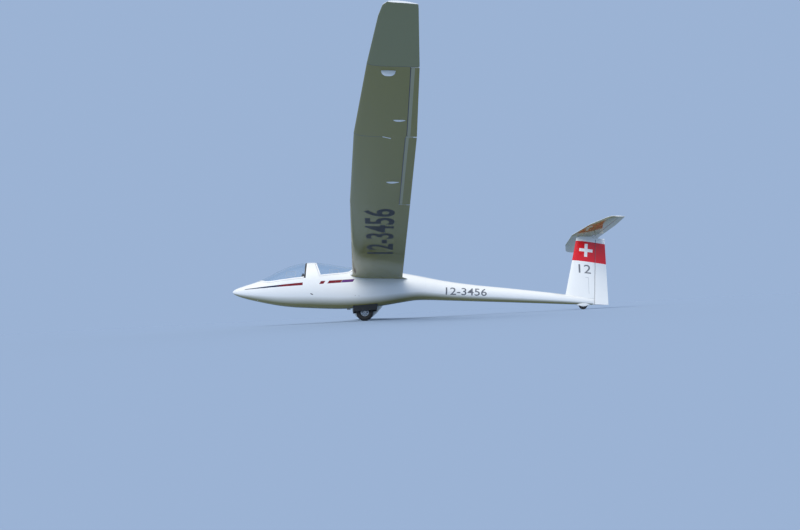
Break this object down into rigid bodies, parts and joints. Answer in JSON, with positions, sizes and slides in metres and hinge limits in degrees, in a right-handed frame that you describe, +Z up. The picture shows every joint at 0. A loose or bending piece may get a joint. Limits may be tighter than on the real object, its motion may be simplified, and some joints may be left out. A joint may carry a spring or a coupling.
{
  "type": "two-seat sailplane with a T-tail",
  "caption": "Long-winged two-seat sailplane with a T-tail, tandem canopies and a single main wheel, parked on one wing tip.",
  "frame": {"origin": "on the floor, under the middle of the bounding box as the sailplane stands parked on main wheel, tail wheel and starboard tip skid", "axes": "+X aft, from nose to tail; +Y to starboard; +Z up, away from the floor"},
  "size_m": [8.646, 19.789, 3.0159],
  "materials": {
    "gelcoat": "high-gloss white gelcoat, with a red band and a white cross on the fin",
    "canopy": "clear acrylic with a faint blue tint",
    "seat_shell": "satin grey composite",
    "seat_cloth": "woven dark blue-grey cloth",
    "panel": "matt black",
    "pedal": "plain",
    "tyre": "ribbed rubber",
    "hub": "turned",
    "gear_steel": "grey primer, satin",
    "door": "black outside"
  },
  "bodies": {
    "airframe": {"fuselage_shell": "gelcoat", "tail_boom": "gelcoat", "fin": "gelcoat", "tailplane": "gelcoat", "wing_inner_port": "gelcoat", "wing_outer_port": "gelcoat", "wing_tip_port": "gelcoat", "tip_skid_port": "gelcoat", "wing_inner_starboard": "gelcoat", "wing_outer_starboard": "gelcoat", "wing_tip_starboard": "gelcoat", "tip_skid_starboard": "gelcoat", "seat_front": "seat_shell", "seat_rear": "seat_shell", "seat_cushion_front": "seat_cloth", "seat_cushion_rear": "seat_cloth", "headrest_front": "seat_cloth", "headrest_rear": "seat_cloth", "instrument_console_front": "panel", "instrument_console_rear": "panel", "control_stick_front": "panel", "control_stick_rear": "panel", "rudder_pedals_front": "pedal", "main_wheel_axle": "gear_steel", "main_gear_fork": "gear_steel", "main_gear_door_port": "door", "main_gear_door_starboard": "door", "tail_wheel_fairing": "gelcoat", "tail_wheel_axle": "gear_steel", "tow_release": "gear_steel"},
    "rudder": {"rudder": "gelcoat"},
    "elevator": {"elevator": "gelcoat"},
    "aileron_inner_port": {"aileron_inner_port": "gelcoat"},
    "aileron_outer_port": {"aileron_outer_port": "gelcoat"},
    "aileron_inner_starboard": {"aileron_inner_starboard": "gelcoat"},
    "aileron_outer_starboard": {"aileron_outer_starboard": "gelcoat"},
    "airbrake_port": {"airbrake_port": "gelcoat"},
    "airbrake_starboard": {"airbrake_starboard": "gelcoat"},
    "canopy_front": {"canopy_frame_front": "gelcoat", "canopy_glass_front": "canopy"},
    "canopy_rear": {"canopy_frame_rear": "gelcoat", "canopy_glass_rear": "canopy"},
    "main_wheel": {"main_wheel_tyre": "tyre", "main_wheel_hub": "hub"},
    "tail_wheel": {"tail_wheel_tyre": "tyre", "tail_wheel_hub": "hub"}
  },
  "joints": [
    {"name": "rudder_hinge", "type": "hinge", "parent": "airframe", "child": "rudder", "pos_m": [3.99447, -0.10018, 0.84894], "axis": [0.1386, 0.1457, 0.9796], "range_deg": [-30, 30]},
    {"name": "elevator_hinge", "type": "hinge", "parent": "airframe", "child": "elevator", "pos_m": [4.08454, 0.02753, 1.70757], "axis": [0, 0.9891, -0.1471], "range_deg": [-25, 20]},
    {"name": "aileron_inner_port_hinge", "type": "hinge", "parent": "airframe", "child": "aileron_inner_port", "pos_m": [-0.91164, -6.15144, 2.13757], "axis": [0.0295, 0.979, -0.2018], "range_deg": [-20, 20]},
    {"name": "aileron_outer_port_hinge", "type": "hinge", "parent": "airframe", "child": "aileron_outer_port", "pos_m": [-0.9694, -8.16257, 2.55051], "axis": [0.0454, 0.978, -0.2037], "range_deg": [-20, 20]},
    {"name": "aileron_inner_starboard_hinge", "type": "hinge", "parent": "airframe", "child": "aileron_inner_starboard", "pos_m": [-0.91164, 6.06417, 0.32065], "axis": [-0.0295, 0.9953, -0.0919], "range_deg": [-20, 20]},
    {"name": "aileron_outer_starboard_hinge", "type": "hinge", "parent": "airframe", "child": "aileron_outer_starboard", "pos_m": [-0.9694, 8.10843, 0.13041], "axis": [-0.0454, 0.9949, -0.0897], "range_deg": [-20, 20]},
    {"name": "airbrake_port_lift", "type": "slide", "parent": "airframe", "child": "airbrake_port", "axis": [0.0803, 0.1955, 0.9774], "range_m": [0, 0.08]},
    {"name": "airbrake_starboard_lift", "type": "slide", "parent": "airframe", "child": "airbrake_starboard", "axis": [0.0803, 0.0975, 0.992], "range_m": [0, 0.08]},
    {"name": "canopy_front_hinge", "type": "hinge", "parent": "airframe", "child": "canopy_front", "pos_m": [-3.04032, 0.26059, 0.89542], "axis": [-0.9978, -0.0098, -0.0657], "range_deg": [0, 85]},
    {"name": "canopy_rear_hinge", "type": "hinge", "parent": "airframe", "child": "canopy_rear", "pos_m": [-2.06697, 0.26814, 0.95981], "axis": [-0.9978, -0.0098, -0.0657], "range_deg": [0, 85]},
    {"name": "main_wheel_spin", "type": "hinge", "parent": "airframe", "child": "main_wheel", "pos_m": [-1.40151, -0.19815, 0.19023], "axis": [0, 0.9891, -0.1471], "continuous": true},
    {"name": "tail_wheel_spin", "type": "hinge", "parent": "airframe", "child": "tail_wheel", "pos_m": [3.61736, -0.21164, 0.09955], "axis": [0, 0.9891, -0.1471], "continuous": true}
  ],
  "couplings": [
    {"joint": "aileron_outer_port_hinge", "follows": "aileron_inner_port_hinge", "ratio": 1},
    {"joint": "aileron_inner_starboard_hinge", "follows": "aileron_inner_port_hinge", "ratio": -1},
    {"joint": "aileron_outer_starboard_hinge", "follows": "aileron_inner_port_hinge", "ratio": -1},
    {"joint": "airbrake_starboard_lift", "follows": "airbrake_port_lift", "ratio": 1}
  ]
}
